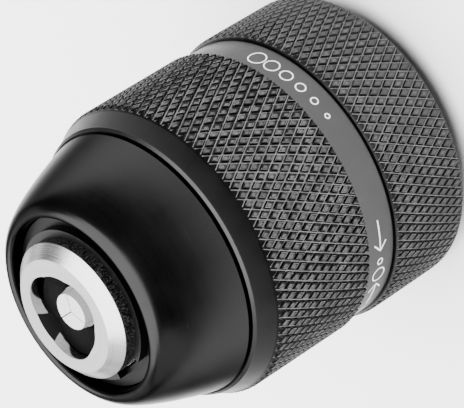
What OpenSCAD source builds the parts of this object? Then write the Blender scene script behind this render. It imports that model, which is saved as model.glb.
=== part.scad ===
// Keyless drill chuck with two sleeves and a capacity of 0.8 to 10 mm.
// Millimetres. +Z runs from the spindle face at z = 0 to the nose face.
// Places along the axis are given as depths, measured back from the nose face.

/* [Chuck] */
// Length from the spindle face to the nose face
chuck_l = 50; // [50:0.5:52]
// Largest diameter of the front sleeve
front_sleeve_d = 37.5; // [37.5:0.1:38.2]
// Largest diameter of the rear sleeve
rear_sleeve_d = 37.8; // [37.7:0.1:38.4]
// Diameter of the bore that the drill shank enters
tool_bore_d = 10.2; // [10:0.1:10.2]
// Minor diameter of the 3/8-24 UNF spindle thread
spindle_hole_d = 8.6; // [8.4:0.05:8.65]

/* [Jaws] */
// Angle between a jaw and the chuck's axis
jaw_angle = 15.5; // [15.4:0.05:15.6]
// Diameter of a jaw
jaw_d = 7.8; // [7.6:0.05:7.8]
// Length of a jaw along its own axis
jaw_l = 24; // [23:0.5:24]
// Pitch of the jaw thread, measured along a jaw
thread_pitch = 1.5; // [1.5:0.05:1.6]

/* [Bearing] */
// Diameter of a bearing ball
ball_d = 1.8; // [1.7:0.05:1.8]
// Number of bearing balls
ball_count = 32; // [24:1:34]

/* [Hidden] */
$fn = 96;
far = 60;

// Chuck body: depths and radii
nose_flat_r = 7.25;
nose_r = 8.73;
nose_chamfer_depth = 1.35;
snap_groove_front = 2.78;
snap_groove_rear = 3.82;
snap_groove_r = 8.1;
nose_end = 8;
shoulder_r = 11.5;
shoulder_front = 13;
shoulder_rear = 19.4;
nut_neck_r = 9.8;
nut_neck_end = 26.6;
thrust_neck_r = 12.6;
flange_front = 30;
flange_rear = 33;
flange_r = 16.5;
seat_lip_front = 29.3;
seat_lip_r = 16.2;
hub_front = 34.2;
hub_r = 10.2;
hub_chamfer = 0.6;
web_rear = 36;
web_hole_r = 2.65; // clears an M5 retaining screw

// Rear sleeve set
rear_front = 36;
rear_end = 47.7;
rear_wall_r = 17.3;
rear_lip_r = 16.4;
rear_edge_round = 0.5;
plate_front = 44.2;
plate_rear = 45.4;
hub_ring_rear = 46.2;
hub_ring_r = 11.4;
hub_groove_r = 9.7;
cover_front = 46.3;
cover_rear = 47.2;

// Nose set
snap_ring_inner_r = 8.2;
snap_ring_r = 9.65;
snap_ring_front = 2.8;
snap_ring_rear = 3.8;
snap_ring_gap_angle = 187;
snap_ring_gap = 31;
washer_front = 3.9;
washer_rear = 4.6;
washer_inner_r = 8.95;
washer_r = 11;
cone_crest_depth = 2.2;
cone_lip_r = 11.2;
cone_lip_depth = 2.76;
cone_start_r = 12.4;
cone_start_depth = 2.5;
cone_end_r = 16.8;
cone_end_depth = 13.1;
cone_bulge = 0.66;
cone_steps = 20;
cone_seat_front = 4.7;
cone_seat_rear = 6.4;
cone_seat_r = 9.05;
skirt_r = 16;
skirt_inner_r = 15.2;
skirt_end = 17;

// Front sleeve and its insert
sleeve_front = 13.4;
sleeve_rim_r = 17.4;
sleeve_knurl_front = 16.2;
sleeve_knurl_rear = 31.2;
sleeve_rear = 35.8;
band_r = 18.3;
sleeve_bore_r = 16.9;
insert_front = 13.9;
insert_web_front = 17.4;
insert_rear = 19.2;
insert_web_r = 12;
lug_count = 4;
lug_r = 12.6;
lug_radial = 1.7;
lug_w = 3;
lug_l = 2;

// Nut and bearing
nut_front = 20;
nut_rear = 26.2;
nut_r = 14.6;
nut_split = 0.05;
band_front = 20.6;
band_rear = 25.6;
band_outer_r = 15.7;
slot_play = 0.15;
slot_depth = 1.4;
ball_circle_r = 15.15;
ball_play = 0.02;
race_t = (flange_front - nut_rear - ball_d) / 2 - ball_play;
front_race_inner_r = 13.4;
rear_race_inner_r = 14.1;
race_outer_r = 16.15;
cage_inner_r = 13.85;
cage_outer_r = 16.45;
cage_t = 0.8;
cage_play = 0.05;
ball_depth = nut_rear + race_t + ball_d / 2 + ball_play;

// Jaws
jaw_angles = [30, 150, 270];
jaw_play = 0.1;
jaw_hole_r = jaw_d / 2 + jaw_play;
jaw_mouth_r = 5.66;
jaw_axis_r = jaw_mouth_r - jaw_hole_r / cos(jaw_angle);
jaw_tip_depth = 1.1;
jaw_chamfer = 0.5;
jaw_face_gap = 0.06;
tip_r = 2.3;
tip_base_r = 2.55;
tip_base_depth = 2.4;
tip_shoulder_r = 2.9;
tip_shoulder_depth = 2.6;
tip_edge_r = 5.9;
tip_edge_depth = 1.6;
first_tooth_depth = 0.9;
last_tooth_depth = 24;

// Jaw thread: teeth stand in from the nut's tapered bore into grooves across the jaws
axial_pitch = thread_pitch * cos(jaw_angle);
groove_deep = 0.95;
groove_half_w = 0.58;
tooth_high = 0.8;
tooth_half_w = 0.44;
flank = 0.379;
nut_bore_play = 0.15;
tooth_root_in = 0.3;
thread_start_z = chuck_l - nut_rear;
thread_steps = 24;
thread_turns = [-1 : 4];
groove_arc_r = jaw_outer_r(nut_front) - groove_deep;

// A point at radius r and depth d in the half plane that is turned about the axis
function at(r, d) = [r, chuck_l - d];

// Radius of a jaw's outer line at a depth, with the jaws closed
function jaw_outer_r(d) = jaw_axis_r + jaw_d / 2 / cos(jaw_angle) + d * tan(jaw_angle);

module turned(points) {
    rotate_extrude() polygon(points);
}

module ring(inner_r, outer_r, front, rear) {
    turned([at(inner_r, front), at(outer_r, front), at(outer_r, rear), at(inner_r, rear)]);
}

// Places its children on a jaw's slanted axis, with +Z running back along the jaw
module on_jaw_axis() {
    translate([jaw_axis_r, 0, chuck_l]) rotate([0, 180 - jaw_angle, 0]) children();
}

module body_blank() {
    turned([
        at(0, 0), at(nose_flat_r, 0), at(nose_r, nose_chamfer_depth),
        at(nose_r, snap_groove_front), at(snap_groove_r, snap_groove_front),
        at(snap_groove_r, snap_groove_rear), at(nose_r, snap_groove_rear),
        at(nose_r, nose_end), at(shoulder_r, shoulder_front), at(shoulder_r, shoulder_rear),
        at(nut_neck_r, shoulder_rear), at(nut_neck_r, nut_neck_end),
        at(thrust_neck_r, nut_neck_end), at(thrust_neck_r, flange_front),
        at(seat_lip_r, flange_front), at(seat_lip_r, seat_lip_front),
        at(flange_r, seat_lip_front), at(flange_r, flange_rear),
        at(flange_r - (hub_front - flange_rear), hub_front), at(hub_r, hub_front),
        at(hub_r, plate_rear), at(hub_groove_r, plate_rear),
        at(hub_groove_r, hub_ring_rear), at(hub_r, hub_ring_rear),
        [hub_r, hub_chamfer], [hub_r - hub_chamfer, 0], [0, 0]
    ]);
}

// Tool bore, web hole and spindle hole, as one stepped cutter
module body_bores() {
    turned([
        at(0, -1), at(tool_bore_d / 2, -1), at(tool_bore_d / 2, flange_front),
        at(web_hole_r, flange_front), at(web_hole_r, web_rear),
        at(spindle_hole_d / 2, web_rear), [spindle_hole_d / 2, hub_chamfer],
        [spindle_hole_d / 2 + hub_chamfer, 0], [spindle_hole_d / 2 + hub_chamfer, -1], [0, -1]
    ]);
}

module chuck_body() {
    color("dimgray") difference() {
        body_blank();
        body_bores();
        for (a = jaw_angles)
            rotate([0, 0, a]) on_jaw_axis() translate([0, 0, -5]) cylinder(r = jaw_hole_r, h = far);
    }
}

module rear_sleeve() {
    r = rear_sleeve_d / 2;
    color([0.22, 0.22, 0.23]) turned([
        at(rear_wall_r, rear_front), at(r - rear_edge_round, rear_front),
        at(r, rear_front + 2), at(r, rear_end - 1), at(r - rear_edge_round, rear_end),
        at(rear_lip_r, rear_end), at(rear_lip_r, plate_rear), at(rear_wall_r, plate_rear)
    ]);
}

module rear_hub_plate() {
    color("gray") ring(hub_r, rear_wall_r, plate_front, plate_rear);
}

module rear_retaining_ring() {
    color("silver") difference() {
        ring(hub_groove_r, hub_ring_r, plate_rear, hub_ring_rear);
        translate([-far, -1.5, 0]) cube([far, 3, chuck_l]);
    }
}

module rear_cover() {
    color([0.16, 0.16, 0.17]) turned([
        at(hub_r + 0.2, cover_front), at(rear_lip_r, cover_front), at(rear_lip_r, cover_rear),
        at(hub_r + 1, cover_rear), at(hub_r + 0.2, cover_rear - 0.5)
    ]);
}

module snap_ring() {
    color([0.45, 0.45, 0.46])
        rotate([0, 0, snap_ring_gap_angle + snap_ring_gap / 2])
            rotate_extrude(angle = 360 - snap_ring_gap) polygon([
                at(snap_ring_inner_r, snap_ring_front), at(snap_ring_r, snap_ring_front),
                at(snap_ring_r, snap_ring_rear), at(snap_ring_inner_r, snap_ring_rear)
            ]);
}

module nose_washer() {
    color([0.3, 0.3, 0.31]) ring(washer_inner_r, washer_r, washer_front, washer_rear);
}

module rear_race() {
    color("silver") ring(rear_race_inner_r, race_outer_r, flange_front - race_t, flange_front);
}

module front_race() {
    color("silver") ring(front_race_inner_r, race_outer_r, nut_rear, nut_rear + race_t);
}

module ball_cage() {
    color("darkgoldenrod") difference() {
        ring(cage_inner_r, cage_outer_r, ball_depth - cage_t / 2, ball_depth + cage_t / 2);
        for (i = [0 : ball_count - 1])
            rotate([0, 0, i * 360 / ball_count])
                translate([ball_circle_r, 0, chuck_l - ball_depth])
                    cylinder(r = ball_d / 2 + cage_play, h = 2, center = true, $fn = 32);
    }
}

module bearing_balls() {
    color("white")
        for (i = [0 : ball_count - 1])
            rotate([0, 0, i * 360 / ball_count])
                translate([ball_circle_r, 0, chuck_l - ball_depth]) sphere(d = ball_d, $fn = 32);
}

// Corners of the nut's tooth where its centre line has made t turns
function tooth_section(t) =
    let (
        z = thread_start_z + axial_pitch * t,
        line_r = jaw_outer_r(chuck_l - z),
        crest_r = line_r - tooth_high,
        root_r = line_r + nut_bore_play + tooth_root_in,
        crest_w = tooth_half_w - flank * tooth_high,
        root_w = tooth_half_w + flank * (nut_bore_play + tooth_root_in),
        a = 360 * t
    )
    [for (c = [[crest_r, -crest_w], [root_r, -root_w], [root_r, root_w], [crest_r, crest_w]])
        [c[0] * cos(a), c[0] * sin(a), z + c[1]]];

// Half a turn of the nut's tooth, starting t0 turns along the thread
module tooth_half_turn(t0) {
    points = [for (i = [0 : thread_steps]) each tooth_section(t0 + i / thread_steps / 2)];
    last = 4 * thread_steps;
    sides = [for (i = [0 : thread_steps - 1], j = [0 : 3])
        let (k = (j + 1) % 4) each [
            [4 * i + j, 4 * i + k, 4 * i + 4 + j],
            [4 * i + k, 4 * i + 4 + k, 4 * i + 4 + j]
        ]];
    ends = [[0, 3, 1], [1, 3, 2], [last, last + 1, last + 3], [last + 1, last + 2, last + 3]];
    polyhedron(points = points, faces = concat(sides, ends));
}

// One half of the nut: start is 0 for the half on the +Y side and 0.5 for the other
module nut_half(start) {
    side = start == 0 ? 0 : 180;
    play = jaw_outer_r(0) + nut_bore_play;
    front_r = play + nut_front * tan(jaw_angle);
    rear_r = play + nut_rear * tan(jaw_angle);
    intersection() {
        difference() {
            union() {
                turned([
                    at(front_r, nut_front), at(nut_r, nut_front),
                    at(nut_r, nut_rear), at(rear_r, nut_rear)
                ]);
                for (k = thread_turns) tooth_half_turn(k + start);
            }
            for (i = [0 : lug_count - 1])
                rotate([0, 0, (i + 0.5) * 360 / lug_count])
                    translate([
                        lug_r - slot_play, -lug_w / 2 - slot_play, chuck_l - nut_front - slot_depth
                    ])
                        cube([far, lug_w + 2 * slot_play, far]);
        }
        rotate([0, 0, side]) translate([-far / 2, nut_split, chuck_l - nut_rear])
            cube([far, far, nut_rear - nut_front]);
    }
}

module nut_half_a() {
    color([0.6, 0.6, 0.62]) nut_half(0);
}

module nut_half_b() {
    color([0.55, 0.55, 0.57]) nut_half(0.5);
}

module nut_band() {
    color([0.4, 0.4, 0.42]) ring(nut_r, band_outer_r, band_front, band_rear);
}

// Ring that joins the front sleeve, the nose cone and the nut, with lugs that turn the nut
module front_insert() {
    color([0.35, 0.35, 0.36]) union() {
        turned([
            at(skirt_r, insert_front), at(sleeve_bore_r, insert_front),
            at(sleeve_bore_r, insert_rear), at(insert_web_r, insert_rear),
            at(insert_web_r, insert_web_front), at(skirt_r, insert_web_front)
        ]);
        for (i = [0 : lug_count - 1])
            rotate([0, 0, (i + 0.5) * 360 / lug_count])
                translate([lug_r, -lug_w / 2, chuck_l - insert_rear - lug_l])
                    cube([lug_radial, lug_w, lug_l + 0.5]);
    }
}

module front_sleeve() {
    r = front_sleeve_d / 2;
    color([0.2, 0.2, 0.21]) turned([
        at(sleeve_bore_r, sleeve_front), at(sleeve_rim_r - 0.2, sleeve_front),
        at(sleeve_rim_r, sleeve_front + 0.2), at(band_r, sleeve_knurl_front), at(r, sleeve_knurl_front + 0.4),
        at(r, sleeve_knurl_rear), at(band_r, sleeve_knurl_rear), at(band_r, sleeve_rear),
        at(sleeve_bore_r, sleeve_rear)
    ]);
}

module nose_cone() {
    outer = [for (i = [0 : cone_steps])
        let (t = pow(i / cone_steps, 1.5))
        at(cone_start_r + (cone_end_r - cone_start_r) * pow(t, cone_bulge),
            cone_start_depth + (cone_end_depth - cone_start_depth) * t)];
    color([0.1, 0.1, 0.11]) turned(concat(
        [at(cone_lip_r, cone_lip_depth), at(cone_lip_r + 0.3, cone_crest_depth + 0.1),
            at(cone_lip_r + 0.6, cone_crest_depth), at(cone_lip_r + 0.9, cone_crest_depth + 0.07)],
        outer,
        [at(skirt_r, cone_end_depth), at(skirt_r, skirt_end), at(skirt_inner_r, skirt_end),
            at(skirt_inner_r, cone_end_depth - 1.5), at(cone_lip_r, cone_seat_rear),
            at(cone_seat_r, cone_seat_rear), at(cone_seat_r, cone_seat_front),
            at(cone_lip_r, cone_seat_front)]
    ));
}

// A jaw with its radial direction along +X and its place along the thread set by its angle
module jaw(angle) {
    tip_back = far / 2;
    first = ceil((chuck_l - last_tooth_depth - thread_start_z) / axial_pitch - angle / 360);
    last = floor((chuck_l - first_tooth_depth - thread_start_z) / axial_pitch - angle / 360);
    reach = tooth_high + nut_bore_play + 1;
    end_l = jaw_tip_depth / cos(jaw_angle) + jaw_l;
    difference() {
        on_jaw_axis() rotate_extrude() polygon([
            [0, -5], [jaw_d / 2, -5], [jaw_d / 2, end_l - jaw_chamfer],
            [jaw_d / 2 - jaw_chamfer, end_l], [0, end_l]
        ]);
        for (side = [0, 1])
            mirror([0, side, 0]) rotate([0, 0, 60])
                translate([-far / 2, -jaw_face_gap, 0]) cube([far, far, far]);
        turned([
            at(0, -10), at(tip_back, -10), at(tip_back, tip_edge_depth),
            at(tip_edge_r, tip_edge_depth), at(tip_shoulder_r, tip_shoulder_depth),
            at(tip_base_r, tip_base_depth), at(tip_r, jaw_tip_depth), at(0, jaw_tip_depth)
        ]);
        for (k = [first : last]) {
            z = thread_start_z + axial_pitch * (k + angle / 360);
            root_r = jaw_outer_r(chuck_l - z) - groove_deep;
            root_w = groove_half_w - flank * groove_deep;
            translate([root_r - groove_arc_r, 0, z]) rotate_extrude() polygon([
                [groove_arc_r, -root_w], [groove_arc_r + reach, -root_w - flank * reach],
                [groove_arc_r + reach, root_w + flank * reach], [groove_arc_r, root_w]
            ]);
        }
    }
}

module jaw_1() {
    color([0.5, 0.5, 0.52]) rotate([0, 0, jaw_angles[0]]) jaw(jaw_angles[0]);
}

module jaw_2() {
    color([0.5, 0.5, 0.52]) rotate([0, 0, jaw_angles[1]]) jaw(jaw_angles[1]);
}

module jaw_3() {
    color([0.5, 0.5, 0.52]) rotate([0, 0, jaw_angles[2]]) jaw(jaw_angles[2]);
}

chuck_body();
rear_sleeve();
rear_hub_plate();
rear_retaining_ring();
rear_cover();
snap_ring();
nose_washer();
rear_race();
ball_cage();
bearing_balls();
front_race();
nut_half_a();
nut_half_b();
nut_band();
front_insert();
front_sleeve();
nose_cone();
jaw_1();
jaw_2();
jaw_3();
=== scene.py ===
import math

import bpy
import numpy as np
from mathutils import Matrix, Vector


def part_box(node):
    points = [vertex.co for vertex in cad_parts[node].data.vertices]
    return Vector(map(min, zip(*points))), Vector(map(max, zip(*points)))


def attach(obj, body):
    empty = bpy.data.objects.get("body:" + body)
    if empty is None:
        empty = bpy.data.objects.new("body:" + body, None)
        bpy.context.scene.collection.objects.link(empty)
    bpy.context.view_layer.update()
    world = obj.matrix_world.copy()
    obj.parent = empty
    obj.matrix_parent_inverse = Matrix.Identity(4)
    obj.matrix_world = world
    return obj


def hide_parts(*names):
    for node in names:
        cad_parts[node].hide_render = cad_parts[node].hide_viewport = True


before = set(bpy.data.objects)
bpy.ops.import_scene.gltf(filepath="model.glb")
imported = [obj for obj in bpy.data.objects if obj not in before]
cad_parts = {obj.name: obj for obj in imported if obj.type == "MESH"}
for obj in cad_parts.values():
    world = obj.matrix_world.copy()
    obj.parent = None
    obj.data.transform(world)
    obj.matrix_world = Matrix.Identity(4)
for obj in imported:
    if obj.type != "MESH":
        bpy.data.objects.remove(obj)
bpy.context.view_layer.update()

MM = 0.001
FIXED, TURNING = "fixed_set", "front_sleeve_set"
CHUCK_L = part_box("chuck_body")[1].z / MM  # nose face above the spindle face, in mm
SEGMENTS = 360

# ---------------------------------------------------------------- mesh helpers


def link(name, points, faces, body, material, sharp_deg=30):
    """A mesh piece from points in mm, riding on a body, with smooth shading between shallow angles."""
    mesh = bpy.data.meshes.new(name)
    mesh.from_pydata((np.asarray(points, float) * MM).tolist(), [], faces)
    mesh.materials.append(material)
    mesh.polygons.foreach_set("use_smooth", [True] * len(mesh.polygons))
    mesh.set_sharp_from_angle(angle=math.radians(sharp_deg))
    mesh.update()
    piece = bpy.data.objects.new(name, mesh)
    bpy.context.scene.collection.objects.link(piece)
    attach(piece, body)
    return piece


def smooth(points, parts):
    """A flowing line through all but the first and last of some profile points (Catmull-Rom)."""
    p = np.array(points, float)
    t = (np.arange(parts) / parts)[:, None]
    out = []
    for a, b, c, d in zip(p, p[1:], p[2:], p[3:]):
        out.append(b + t * ((c - a) + t * ((2 * a - 5 * b + 4 * c - d) + t * (3 * b - a - 3 * c + d))) / 2)
    return [tuple(q) for q in np.vstack(out)]


def ring_points(profile, angles):
    """Points of each profile (radius, depth) at each angle, ring by ring."""
    r, depth = np.array(profile, float).T
    x = r[:, None] * np.cos(angles)
    y = r[:, None] * np.sin(angles)
    z = np.repeat((CHUCK_L - depth)[:, None], len(angles), 1)
    return np.stack([x, y, z], 2).reshape(-1, 3)


def ring_faces(count, segments, closed):
    """Quads between successive rings of a lathed shape; closed joins the last ring to the first."""
    i = np.arange(count if closed else count - 1)[:, None]
    k = np.arange(segments)[None]
    a, b = i * segments, (i + 1) % count * segments
    n = (k + 1) % segments
    return np.stack([a + k, a + n, b + n, b + k], 2).reshape(-1, 4).tolist()


def lathe(name, profile, body, material, sharp_deg=30):
    """A closed ring of revolution whose profile runs round its section."""
    angles = np.linspace(0, 2 * math.pi, SEGMENTS, endpoint=False)
    faces = ring_faces(len(profile), SEGMENTS, True)
    return link(name, ring_points(profile, angles), faces, body, material, sharp_deg)


def set_wear_and_painted_light(piece, values):
    """Stores, for each face, how pale it is by wear and by painted light: 1 where the steel is bare or
    painted as a highlight, 0 where the black is whole or painted as shade.
    """
    layer = piece.data.attributes.new("wear_and_painted_light", "FLOAT", "FACE")
    layer.data.foreach_set("value", np.asarray(values, np.float32))


# ---------------------------------------------------------------- knurl

KNURL_LINES = 90          # grooves of each hand round a sleeve
KNURL_PHASE = math.radians(0.75)
# Stops across a diamond, outwards from the middle of a groove: distance in groove pitches, height in mm
STOPS = {"foot": (0.05, -0.27), "rim": (0.17, 0.0), "lip": (0.225, 0.0), "hollow": (0.34, -0.1)}
# Wear and painted light of each facet between the stops, from the foot of a groove to the hollow in the top
# of a diamond
# The foot of each groove is painted pale as a highlight and its walls dark as shade; the crest and the
# diamond's top are paler as wear
FACET_WEAR_AND_PAINTED_LIGHT = [0.85, 0.1, 0.8, 0.4, 0.6]
UNEVEN_TILT = 0.02        # most that a diamond's top leans across a pitch, in mm
UNEVEN_WEAR = 0.2
WORN_PLAIN = 0.0          # wear of the stretches without a knurl
PAINTED_RIM_HIGHLIGHT = 0.4            # of the front sleeve's chamfered rim, painted pale as a highlight
WORN_BAND = 0.48          # of the band behind the front knurl
WORN_REAR = 0.45          # of what the knurl leaves of the rear sleeve, and of its front face
AWAY, HEIGHT = zip(*STOPS.values())
CUTS = list(AWAY) + [1 - a for a in reversed(AWAY)]


def knurl(start, end, rows, outline, bare):
    """Crossed grooves between two depths with rows of diamonds between, as points, faces, wear with painted
    light and shade, and angles.

    The points lie on the two families of grooves, so that every edge of a diamond is an edge of the mesh.
    outline(depth) gives the turned radius that the grooves are cut into, and outline(None) that of the
    crests. bare is the wear of what the grooves leave."""
    k = len(CUTS)
    across, down = KNURL_LINES * k, rows * k
    cuts = np.array(CUTS)
    d, c = np.meshgrid(np.arange(down + 1), np.arange(across), indexing="ij")
    u = (c + d) // k + cuts[(c + d) % k]
    v = c // k + cuts[c % k]
    angle = -(u + v) * math.pi / KNURL_LINES + KNURL_PHASE
    depth = start + (u - v) * (end - start) / rows
    away = np.minimum(np.abs(u - np.round(u)), np.abs(v - np.round(v)))
    lean = uneven(u, v, 1) * (u % 1 - 0.5) + uneven(u, v, 2) * (v % 1 - 0.5)
    pressed = np.interp(away, AWAY, HEIGHT) - UNEVEN_TILT * (np.abs(lean) - lean) * (away > AWAY[0] + 0.01)
    r = np.minimum(outline(depth), outline(None) + pressed)
    points = np.stack([r * np.cos(angle), r * np.sin(angle), CHUCK_L - depth], 2).reshape(-1, 3)

    def node(ring, column):
        return ring * across + column % across

    # A step along u moves one ring down, and a step along v moves one ring up and one point round
    dd, cc = np.meshgrid(np.arange(1, down), np.arange(across), indexing="ij")
    quads = np.stack([node(dd, cc), node(dd - 1, cc + 1), node(dd, cc + 1), node(dd + 1, cc)], 2)
    faces = quads.reshape(-1, 4).tolist()
    wear_and_painted_light = facet_wear_and_painted_light(u, v, r < outline(depth) - 0.001, bare, dd, cc)
    ends = np.arange(across)
    first = np.stack([node(0, ends), node(0, ends + 1), node(1, ends)], 1)
    last = np.stack([node(down, ends), node(down - 1, ends + 1), node(down, ends + 1)], 1)
    wear_and_painted_light = np.concatenate([wear_and_painted_light, np.full(2 * across, bare)])
    return points, faces + first.tolist() + last.tolist(), wear_and_painted_light, angle


def uneven(u, v, seed):
    """An even spread from -1 to 1, the same all over one diamond and different from one to the next."""
    column = np.floor(u).astype(int) % KNURL_LINES
    row = np.floor(v).astype(int) % KNURL_LINES
    return np.random.default_rng(seed).uniform(-1, 1, (KNURL_LINES, KNURL_LINES))[column, row]


def facet_wear_and_painted_light(u, v, cut, bare, dd, cc):
    """Wear, painted highlight and painted shade of each quad, by the stops it lies between; quads that the
    grooves don't reach are bare.
    """
    k = len(CUTS)
    steps = np.diff(CUTS + [1 + CUTS[0]])
    mid_u = u[dd, cc] + steps[(cc + dd) % k] / 2
    mid_v = v[dd, cc] + steps[cc % k] / 2
    away = np.minimum(np.abs(mid_u - np.round(mid_u)), np.abs(mid_v - np.round(mid_v)))
    # Painted highlight at each groove's foot, painted shade on its walls, wear on the crests
    wear_and_painted_light = np.array(FACET_WEAR_AND_PAINTED_LIGHT)[np.searchsorted(AWAY, away)]
    wear_and_painted_light = wear_and_painted_light * (1 + UNEVEN_WEAR * uneven(mid_u, mid_v, 3))
    return np.where(cut[dd, cc], wear_and_painted_light, bare).reshape(-1)


def plain_wear_and_highlight(r, depth):
    """Wear of the plain rings, with a painted highlight: the rim is painted pale as a highlight, and the
    band and the rear sleeve's front face are paler than the rest.
    """
    # The chamfered rim is painted pale as a highlight.
    rim = (r > RIM_R - 0.35) & (depth < SLEEVE_FRONT + 0.05)
    band = (r > BAND_R - 0.1) & (depth > FRONT_KNURL[1] - 0.01) & (depth < SLEEVE_REAR)
    rear_face = (r > SLEEVE_BORE_R) & (np.abs(depth - REAR_KNURL[0]) < 0.01)
    return np.select([rim, band, rear_face], [PAINTED_RIM_HIGHLIGHT, WORN_BAND, WORN_REAR], WORN_PLAIN)


def knurled_sleeve(name, extent, outline, bare, rest_of_section, body, material):
    """A sleeve whose section is closed by plain rings from the knurl's last ring round to its first."""
    points, faces, wear_and_painted_light, angle = knurl(*extent, outline, bare)
    segments = angle.shape[1]
    count = len(rest_of_section)
    base = len(points)
    # The plain rings use the angles of the knurl's last ring, and turn to those of its first along the bore
    turn = np.linspace(0, 1, count)[:, None]
    angles = angle[-1][None] * (1 - turn) + angle[0][None] * turn
    r, depth = np.array(rest_of_section, float).T
    height = np.repeat((CHUCK_L - depth)[:, None], segments, 1)
    plain = np.stack([r[:, None] * np.cos(angles), r[:, None] * np.sin(angles), height], 2)
    points = np.vstack([points, plain.reshape(-1, 3)])
    ring_wear_and_highlight = plain_wear_and_highlight(r, depth)
    wear_and_painted_light = np.concatenate([wear_and_painted_light, np.repeat(ring_wear_and_highlight[:-1], segments), np.full(2 * segments, WORN_PLAIN)])
    faces += (np.array(ring_faces(count, segments, False)) + base).tolist()
    k = np.arange(segments)
    n = (k + 1) % segments
    last = base - segments
    faces += np.stack([last + k, last + n, base + n, base + k], 1).tolist()
    tail = base + (count - 1) * segments
    faces += np.stack([tail + k, tail + n, n, k], 1).tolist()
    piece = link(name, points, faces, body, material, sharp_deg=20)
    set_wear_and_painted_light(piece, wear_and_painted_light)
    return piece


# ---------------------------------------------------------------- materials


class Paint:
    """A node material with a Principled shader and short calls for the nodes that feed it."""

    def __init__(self, name, **values):
        self.material = bpy.data.materials.new(name)
        self.material.use_nodes = True
        self.tree = self.material.node_tree
        self.shader = self.tree.nodes["Principled BSDF"]
        for key, value in values.items():
            self.shader.inputs[key.replace("_", " ")].default_value = value

    def node(self, kind, inputs=None, **settings):
        made = self.tree.nodes.new(kind)
        for key, value in settings.items():
            setattr(made, key, value)
        for key, value in (inputs or {}).items():
            if isinstance(value, bpy.types.NodeSocket):
                self.tree.links.new(value, made.inputs[key])
            else:
                made.inputs[key].default_value = value
        return made

    def place(self, scale=(1, 1, 1)):
        """Position in the chuck's frame, in mm, stretched by scale."""
        spot = self.node("ShaderNodeTexCoord").outputs["Object"]
        size = tuple(s / MM for s in scale)
        return self.node("ShaderNodeVectorMath", {0: spot, 1: size}, operation="MULTIPLY").outputs[0]

    def math(self, operation, a, b=0.0, c=0.0):
        return self.node("ShaderNodeMath", {0: a, 1: b, 2: c}, operation=operation).outputs[0]

    def radius(self, place):
        """Distance from the chuck's axis, in mm."""
        flat = self.node("ShaderNodeVectorMath", {0: place, 1: (1, 1, 0)}, operation="MULTIPLY").outputs[0]
        return self.node("ShaderNodeVectorMath", {0: flat}, operation="LENGTH").outputs["Value"]

    def part(self, vector, axis):
        return self.node("ShaderNodeSeparateXYZ", {0: vector}).outputs[axis]

    def noise(self, vector, scale, detail=4.0, roughness=0.6):
        return self.node("ShaderNodeTexNoise", {
            "Vector": vector, "Scale": scale, "Detail": detail, "Roughness": roughness
        }).outputs["Fac"]

    def turned(self, place, scale, detail, roughness=0.6):
        """Noise that is the same all the way round the axis, like the lines of a lathe tool."""
        across, along = self.radius(place), self.part(place, "Z")
        line = self.node("ShaderNodeCombineXYZ", {0: across, 1: along}).outputs[0]
        return self.noise(line, scale, detail, roughness)

    def span(self, value, low, high, to_low=0.0, to_high=1.0):
        return self.node("ShaderNodeMapRange", {
            "Value": value, "From Min": low, "From Max": high, "To Min": to_low, "To Max": to_high
        }).outputs["Result"]

    def mix(self, factor, a, b):
        made = self.node("ShaderNodeMix", {0: factor}, data_type="RGBA")
        for socket, value in ((made.inputs[6], a), (made.inputs[7], b)):
            if isinstance(value, bpy.types.NodeSocket):
                self.tree.links.new(value, socket)
            else:
                socket.default_value = value
        return made.outputs[2]

    def feed(self, key, socket):
        self.tree.links.new(socket, self.shader.inputs[key])

    def bump(self, height, distance, strength=1.0):
        inputs = {"Height": height, "Distance": distance * MM, "Strength": strength}
        made = self.node("ShaderNodeBump", inputs)
        self.feed("Normal", made.outputs[0])


def grey(value, warm=0.0):
    return (value * (1 + warm), value, value * (1 - warm), 1)


def sleeve_steel():
    """Blackened steel: darkest where it's plain, and on the walls of the grooves as painted shade; paler by
    the wear, and at the groove feet and the front rim as painted highlights.
    """
    p = Paint("sleeve_steel", Metallic=1.0, Roughness=0.35, Specular_Tint=grey(0.62))
    place = p.place()
    wear_and_painted_light = p.node("ShaderNodeAttribute", attribute_name="wear_and_painted_light").outputs["Fac"]
    cloud = p.noise(place, 0.35, 5)
    grain = p.noise(place, 9.0, 3)
    # The per-face paleness read here carries wear, painted shade on the groove walls and painted highlights
    # at the groove feet and the front rim.
    base = p.mix(wear_and_painted_light, grey(0.013), grey(0.08))
    patchy = p.mix(p.span(p.math("MULTIPLY", wear_and_painted_light, grain), 0.3, 0.6), base, grey(0.13))
    p.feed("Base Color", p.mix(p.span(cloud, 0.4, 0.8, 0.0, 0.15), patchy, grey(0.03)))
    p.feed("Roughness", p.span(p.math("ADD", grain, cloud), 0.7, 1.3, 0.26, 0.4))
    p.bump(grain, 0.012, 0.6)
    return p.material


def cover_steel():
    """Blackened steel with fine turning lines, for the cover at the rear."""
    p = Paint("cover_steel", Metallic=1.0, Roughness=0.36)
    place = p.place()
    lines = p.turned(place, 7.0, 6)
    cloud = p.noise(place, 0.3, 4)
    p.feed("Base Color", p.mix(p.span(cloud, 0.3, 0.75), grey(0.025), grey(0.04)))
    p.feed("Roughness", p.span(lines, 0.3, 0.7, 0.3, 0.42))
    p.bump(lines, 0.004, 0.5)
    return p.material


def cone_black():
    """Polished black oxide with faint cloudy patches and turning lines."""
    p = Paint("cone_black", Metallic=1.0, Roughness=0.2, Specular_Tint=grey(0.42))
    place = p.place()
    cloud = p.noise(place, 0.22, 5)
    lines = p.turned(place, 3.5, 5)
    p.feed("Base Color", p.mix(cloud, grey(0.017), grey(0.024)))
    p.feed("Roughness", p.span(p.math("ADD", cloud, lines), 0.7, 1.3, 0.19, 0.28))
    p.bump(lines, 0.004, 0.35)
    return p.material


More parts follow.
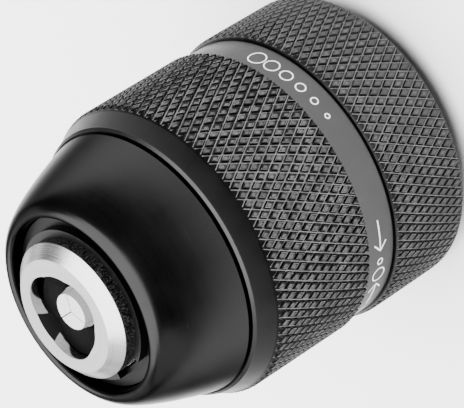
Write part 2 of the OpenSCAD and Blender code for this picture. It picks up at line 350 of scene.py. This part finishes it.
def body_steel():
    """Bright turned steel on the nose, its chamfer and the mouth of each hole, whose walls are painted pale
    as painted light while the bore's own wall there is left dark as painted shade; blackened elsewhere.
    """
    p = Paint("body_steel", Metallic=1.0, Roughness=0.25, Specular_Tint=grey(0.5))
    place = p.place()
    r = p.radius(place)
    z = p.part(place, "Z")
    rings = p.turned(place, 11.0, 6, 0.7)
    broad = p.turned(place, 1.6, 3)
    speck = p.noise(place, 6.0, 5, 0.7)
    ragged = p.math("MULTIPLY_ADD", speck, 0.7, -0.35)
    in_front = p.span(p.math("ADD", z, ragged), CHUCK_L - 1.5, CHUCK_L - 1.38)
    # The bore's own wall under the face is left out here, so it stays dark as painted shade.
    off_bore = p.math("MAXIMUM", p.span(r, 5.12, 5.16), p.span(z, CHUCK_L - 0.04, CHUCK_L - 0.01))
    on_nose = p.math("MULTIPLY", in_front, off_bore)
    # Painted light: the walls of the holes just under the face are made pale and hardly metallic, so they
    # read lit inside the bore.
    hole_painted_light = p.math("MULTIPLY", p.span(r, 5.75, 5.68), p.span(z, CHUCK_L - 0.03, CHUCK_L - 0.06))
    bright = p.mix(p.span(rings, 0.3, 0.7), grey(0.4, 0.01), grey(0.58, 0.01))
    bright = p.mix(p.span(broad, 0.45, 0.7, 0, 0.25), bright, grey(0.36))
    bright = p.mix(hole_painted_light, bright, p.mix(p.span(speck, 0.4, 0.65), grey(0.6), grey(0.95)))
    worn = p.math("MULTIPLY", p.span(speck, 0.51, 0.62), p.span(r, 7.6, 8.1))
    dark = p.mix(worn, grey(0.012), grey(0.6))
    p.feed("Base Color", p.mix(on_nose, dark, bright))
    p.feed("Roughness", p.mix(on_nose, grey(0.42), p.mix(rings, grey(0.2), grey(0.34))))
    p.feed("Metallic", p.span(hole_painted_light, 0, 1, 1, 0.1))
    p.bump(rings, 0.006, 0.5)
    return p.material


def jaw_steel():
    """Hardened jaws: ground bright at the tips, blackened behind them."""
    p = Paint("jaw_steel", Metallic=1.0, Roughness=0.3, Specular_Tint=grey(0.5))
    place = p.place()
    ground = p.noise(p.place((1, 1, 6)), 3.0, 5, 0.7)
    speck = p.noise(place, 8.0, 4)
    tip = p.span(p.radius(place), 2.62, 2.56)
    bright = p.mix(ground, grey(0.5), grey(0.75))
    dark = p.mix(p.span(speck, 0.4, 0.7), grey(0.004), grey(0.012))
    p.feed("Base Color", p.mix(tip, dark, bright))
    p.feed("Metallic", p.span(tip, 0, 1, 1, 0.4))
    p.feed("Roughness", p.mix(tip, grey(0.5), p.mix(ground, grey(0.2), grey(0.32))))
    p.bump(ground, 0.006, 0.5)
    return p.material


def spring_steel():
    p = Paint("spring_steel", Metallic=1.0, Roughness=0.38)
    grain = p.noise(p.place((1, 1, 3)), 5.0, 5)
    p.feed("Base Color", p.mix(p.span(grain, 0.35, 0.7), grey(0.012), grey(0.035)))
    p.feed("Roughness", p.span(grain, 0.3, 0.7, 0.3, 0.5))
    p.bump(grain, 0.01, 0.4)
    return p.material


def machined_steel(name, low, high, rough):
    """Plain turned steel for the inner pieces."""
    p = Paint(name, Metallic=1.0, Roughness=rough)
    place = p.place()
    lines = p.turned(place, 6.0, 5)
    p.feed("Base Color", p.mix(p.span(lines, 0.3, 0.7), grey(low), grey(high)))
    p.feed("Roughness", p.span(lines, 0.3, 0.7, rough - 0.06, rough + 0.08))
    p.bump(lines, 0.005, 0.4)
    return p.material


def cage_brass():
    p = Paint("cage_brass", Metallic=1.0, Roughness=0.35)
    grain = p.noise(p.place(), 3.0, 4)
    p.feed("Base Color", p.mix(grain, (0.5, 0.34, 0.12, 1), (0.68, 0.5, 0.22, 1)))
    p.bump(grain, 0.01, 0.3)
    return p.material


def mark_metal():
    """Bare steel where a mark is cut through the blackened band."""
    p = Paint("mark_metal", Metallic=0.6, Roughness=0.45)
    grain = p.noise(p.place(), 14.0, 3)
    p.feed("Base Color", p.mix(p.span(grain, 0.3, 0.7), grey(0.6), grey(0.85)))
    p.bump(grain, 0.01, 0.4)
    return p.material


def floor_paint():
    p = Paint("floor_paint", Roughness=0.75)
    p.feed("Base Color", p.mix(p.noise(p.place(), 0.01, 3), grey(0.92), grey(0.95)))
    return p.material


SLEEVE = sleeve_steel()
COVER = cover_steel()
BODY = body_steel()
JAW = jaw_steel()
SPRING = spring_steel()
MARK = mark_metal()
INNER = machined_steel("inner_steel", 0.006, 0.015, 0.34)
BEARING = machined_steel("bearing_steel", 0.6, 0.75, 0.12)
CAD_MATERIALS = {
    "chuck_body": BODY, "jaw_1": JAW, "jaw_2": JAW, "jaw_3": JAW, "snap_ring": SPRING,
    "rear_retaining_ring": SPRING, "nose_washer": INNER, "rear_hub_plate": INNER, "rear_cover": COVER,
    "nut_half_a": INNER, "nut_half_b": INNER, "nut_band": INNER, "front_insert": INNER,
    "front_race": BEARING, "rear_race": BEARING, "bearing_balls": BEARING, "ball_cage": cage_brass(),
}
for node_name, material in CAD_MATERIALS.items():
    cad_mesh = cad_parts[node_name].data
    cad_mesh.materials.clear()
    cad_mesh.materials.append(material)

# ---------------------------------------------------------------- front sleeve

SLEEVE_FRONT, SLEEVE_REAR = 13.4, 35.8
SLEEVE_BORE_R = 16.9
RIM_R = 17.4
BAND_R = 18.3
FRONT_CREST_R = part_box("front_sleeve")[1].x / MM
REAR_CREST_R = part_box("rear_sleeve")[1].x / MM
FRONT_KNURL = (16.04, 31.2, 13)  # first depth, last depth, rows of diamonds
CONE_TOP_R, KNURL_FULL = 18.33, 16.7
REAR_KNURL = (36.0, 47.7, 10)
REAR_WALL_R, REAR_LIP_R, REAR_LIP_FRONT = 17.3, 16.4, 45.4


def front_outline(depth):
    """Turned radius of the front sleeve: a cone that runs up to the crest of the knurl."""
    if depth is None:
        return FRONT_CREST_R
    return np.interp(depth, [FRONT_KNURL[0], KNURL_FULL], [CONE_TOP_R, FRONT_CREST_R])


def front_sleeve():
    section = [
        (BAND_R, FRONT_KNURL[1]), (BAND_R, FRONT_KNURL[1] + 0.3), (BAND_R, SLEEVE_REAR - 0.25),
        (BAND_R - 0.04, SLEEVE_REAR - 0.04), (BAND_R - 0.14, SLEEVE_REAR),
        (SLEEVE_BORE_R + 0.15, SLEEVE_REAR), (SLEEVE_BORE_R, SLEEVE_REAR - 0.15),
        (SLEEVE_BORE_R, SLEEVE_FRONT + 0.1), (SLEEVE_BORE_R + 0.1, SLEEVE_FRONT),
        (RIM_R - 0.3, SLEEVE_FRONT), (RIM_R, SLEEVE_FRONT + 0.3), (RIM_R + 0.04, SLEEVE_FRONT + 0.5),
        (CONE_TOP_R - 0.01, FRONT_KNURL[0] - 0.03),
    ]
    piece = knurled_sleeve(
        "front_sleeve_knurled", FRONT_KNURL, front_outline, WORN_PLAIN, section, TURNING, SLEEVE)
    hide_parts("front_sleeve")


def rear_outline(depth):
    """Turned radius of the rear sleeve: a slight barrel with a bevel in front and a rounded rear edge."""
    if depth is None:
        return REAR_CREST_R
    start, end, _ = REAR_KNURL
    front = REAR_CREST_R - 0.4 * np.clip(1 - (depth - start) / 0.7, 0, 1) ** 1.5
    back = np.clip((depth - end + 0.8) / 0.8, 0, 1)
    barrel = 0.08 * np.clip((depth - start - 3) / 8, 0, 1)
    return front - barrel - 0.3 * back ** 2


def rear_sleeve():
    start, end, _ = REAR_KNURL
    outer = REAR_CREST_R - 0.38
    section = [
        (outer - 0.1, end), (REAR_LIP_R + 0.15, end), (REAR_LIP_R, end - 0.15),
        (REAR_LIP_R, REAR_LIP_FRONT), (REAR_WALL_R, REAR_LIP_FRONT), (REAR_WALL_R, start + 0.2),
        (17.5, start), (REAR_CREST_R - 0.42, start),
    ]
    piece = knurled_sleeve(
        "rear_sleeve_knurled", REAR_KNURL, rear_outline, WORN_REAR, section, FIXED, SLEEVE)
    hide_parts("rear_sleeve")


# ---------------------------------------------------------------- nose cone

CONE_START_R, CONE_START = 12.4, 2.5
CONE_END_R, CONE_END = 16.84, 12.98
CONE_LIP_R = 11.2
CONE_BULGE = 0.66         # under 1, so that the cone swells outwards between its ends
SPIGOT_R, SPIGOT_BORE_R, SPIGOT_REAR = 16, 15.2, 17
SEAT_R, SEAT_FRONT, SEAT_REAR = 9.05, 4.7, 6.4


def nose_cone():
    steps = 48
    share = np.linspace(0.15, 1, steps) ** 1.6
    wider, longer = CONE_END_R - CONE_START_R, CONE_END - CONE_START
    swell = [(CONE_START_R + wider * t ** CONE_BULGE, CONE_START + longer * t) for t in share]
    lip = [(11.16, 3.6), (CONE_LIP_R, 2.85), (11.4, 2.38), (11.8, 2.2), (12.3, 2.37), (12.75, 2.73)]
    profile = smooth(lip + swell[:2], 8) + swell[1:]
    profile += [
        (CONE_END_R - 0.02, CONE_END + 0.05), (CONE_END_R - 0.06, CONE_END + 0.1),
        (CONE_END_R - 0.16, CONE_END + 0.12), (SPIGOT_R, CONE_END), (SPIGOT_R, SPIGOT_REAR),
        (SPIGOT_BORE_R, SPIGOT_REAR), (SPIGOT_BORE_R, CONE_END - 1.5), (CONE_LIP_R, SEAT_REAR),
        (SEAT_R, SEAT_REAR), (SEAT_R, SEAT_FRONT), (11.1, SEAT_FRONT), (CONE_LIP_R - 0.03, 4.6),
    ]
    piece = lathe("nose_cone_polished", profile, TURNING, cone_black(), sharp_deg=35)
    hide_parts("nose_cone")


# ---------------------------------------------------------------- marks on the band

MARK_R = BAND_R + 0.012
MARK_FOOT_R = BAND_R - 0.05
MARK_DEPTH = 33.5
ARROW_STROKE, ARROW_HEAD, ARROW_HALF_W = 0.2, 1.1, 0.95
RING_STROKE = 0.17


def mark_strip(points, width, closed=False):
    """A flat stroke of the given width on the band, along points of (mm round the band, mm along it)."""
    pts = [Vector(p) for p in points]
    outer, inner = [], []
    for i, p in enumerate(pts):
        before = pts[i - 1] if i or closed else p
        after = pts[(i + 1) % len(pts)] if i + 1 < len(pts) or closed else p
        along = (after - before).normalized()
        side = Vector((-along.y, along.x)) * width / 2
        outer.append(p + side)
        inner.append(p - side)
    return outer, inner, closed


def mark_piece(name, strips, angle_deg):
    """Strokes inlaid in the band round an angle, each a closed bar that stands just over it."""
    points, faces = [], []
    for outer, inner, closed in strips:
        base = len(points)
        count = len(outer)
        for r, edge in ((MARK_R, outer), (MARK_R, inner), (MARK_FOOT_R, inner), (MARK_FOOT_R, outer)):
            for p in edge:
                turn = math.radians(angle_deg) + p.x / BAND_R
                points.append((r * math.cos(turn), r * math.sin(turn), CHUCK_L - MARK_DEPTH - p.y))
        rows = [base + row * count for row in range(4)]
        for i in range(count if closed else count - 1):
            j = (i + 1) % count
            faces += [(a + i, a + j, b + j, b + i) for a, b in zip(rows, rows[1:] + rows[:1])]
        if not closed:
            faces += [tuple(rows), tuple(row + count - 1 for row in reversed(rows))]
    piece = link(name, points, faces, TURNING, MARK)
    return piece


def fine(points, step=0.3):
    """The same line with points no more than a step apart, so that it bends round the band."""
    out = [Vector(points[0])]
    for a, b in zip(points, points[1:]):
        a, b = Vector(a), Vector(b)
        parts = max(1, math.ceil((b - a).length / step))
        out += [a.lerp(b, (i + 1) / parts) for i in range(parts)]
    return out


def arrow(start, length, way):
    """An arrow round the band: a shaft and an open head."""
    tip = start + way * length
    barb = tip - way * ARROW_HEAD
    head = [(barb, ARROW_HALF_W), (tip, 0), (barb, -ARROW_HALF_W)]
    shaft = [(start, 0), (tip - way * 0.3, 0)]
    return [mark_strip(fine(shaft), ARROW_STROKE), mark_strip(fine(head), ARROW_STROKE)]


def ring_mark(centre, radius):
    """A circle, standing for a drill seen end on."""
    angles = np.linspace(0, 2 * math.pi, 28, endpoint=False)
    circle = [(centre + radius * math.cos(a), radius * math.sin(a)) for a in angles]
    return mark_strip(circle, RING_STROKE, True)


def band_marks():
    """Growing circles for the capacity, and arrows to a small circle to grip and a large one to release."""
    growing = [ring_mark(-6.2 + 2.35 * i, 0.3 + 0.16 * i) for i in range(6)]
    mark_piece("capacity_marks", growing, 300)
    mark_piece("grip_arrow", arrow(2.6, 4.2, -1) + [ring_mark(-3.2, 0.4)], 229)
    mark_piece("release_arrow", arrow(-2.6, 4.2, 1) + [ring_mark(3.2, 0.95)], 202.5)


# ---------------------------------------------------------------- camera, lights, floor

CAMERA_LENS = 310.3
VIEW_ELEVATION = math.radians(34.4)
VIEW_ROLL = math.radians(-122.2)
NOSE_RIGHT, NOSE_DOWN, NOSE_AHEAD = -19.2, 12.84, 457.2  # nose face from the camera, in mm


def camera():
    """Looks down on the -Y side, rolled so that the nose points to the lower left."""
    ahead = Vector((0, math.cos(VIEW_ELEVATION), -math.sin(VIEW_ELEVATION)))
    level_right = Vector((1, 0, 0))
    level_down = ahead.cross(level_right)
    c, s = math.cos(VIEW_ROLL), math.sin(VIEW_ROLL)
    right = level_right * c - level_down * s
    down = level_right * s + level_down * c
    nose = Vector((0, 0, CHUCK_L))
    place = nose - right * NOSE_RIGHT - down * NOSE_DOWN - ahead * NOSE_AHEAD
    data = bpy.data.cameras.new("camera")
    data.lens = CAMERA_LENS
    data.sensor_width = 36
    data.clip_start = 0.01
    made = bpy.data.objects.new("camera", data)
    turn = Matrix((right, -down, -ahead)).transposed().to_4x4()
    made.matrix_world = Matrix.Translation(place * MM) @ turn
    bpy.context.scene.collection.objects.link(made)
    bpy.context.scene.camera = made


def panel(name, direction, distance, size, power):
    """A soft elliptical light that faces the middle of the chuck, in metres and watts."""
    data = bpy.data.lights.new(name, "AREA")
    data.shape = "ELLIPSE"
    data.size, data.size_y = size
    data.energy = power
    made = bpy.data.objects.new(name, data)
    away = Vector(direction).normalized()
    target = Vector((0, 0, 0.03))
    made.location = target + away * distance
    made.rotation_euler = (-away).to_track_quat("-Z", "Y").to_euler()
    bpy.context.scene.collection.objects.link(made)


def studio():
    half = 2.5
    corners = [(-half, -half, 0), (half, -half, 0), (half, half, 0), (-half, half, 0)]
    mesh = bpy.data.meshes.new("floor")
    mesh.from_pydata(corners, [], [(0, 1, 2, 3)])
    mesh.materials.append(floor_paint())
    floor = bpy.data.objects.new("floor", mesh)
    bpy.context.scene.collection.objects.link(floor)
    world = bpy.data.worlds.new("studio")
    world.use_nodes = True
    background = world.node_tree.nodes["Background"]
    background.inputs["Color"].default_value = (0.95, 0.97, 1, 1)
    background.inputs["Strength"].default_value = 0.2
    bpy.context.scene.world = world
    panel("top", (0, 0, 1), 1.3, (2.9, 2.9), 175)
    panel("back", (0, 0.9, 0.4), 0.8, (1.6, 0.6), 6)
    panel("side", (-1.0, 0.1, 0.35), 1.2, (1.4, 0.8), 5)


front_sleeve()
rear_sleeve()
nose_cone()
band_marks()
camera()
studio()
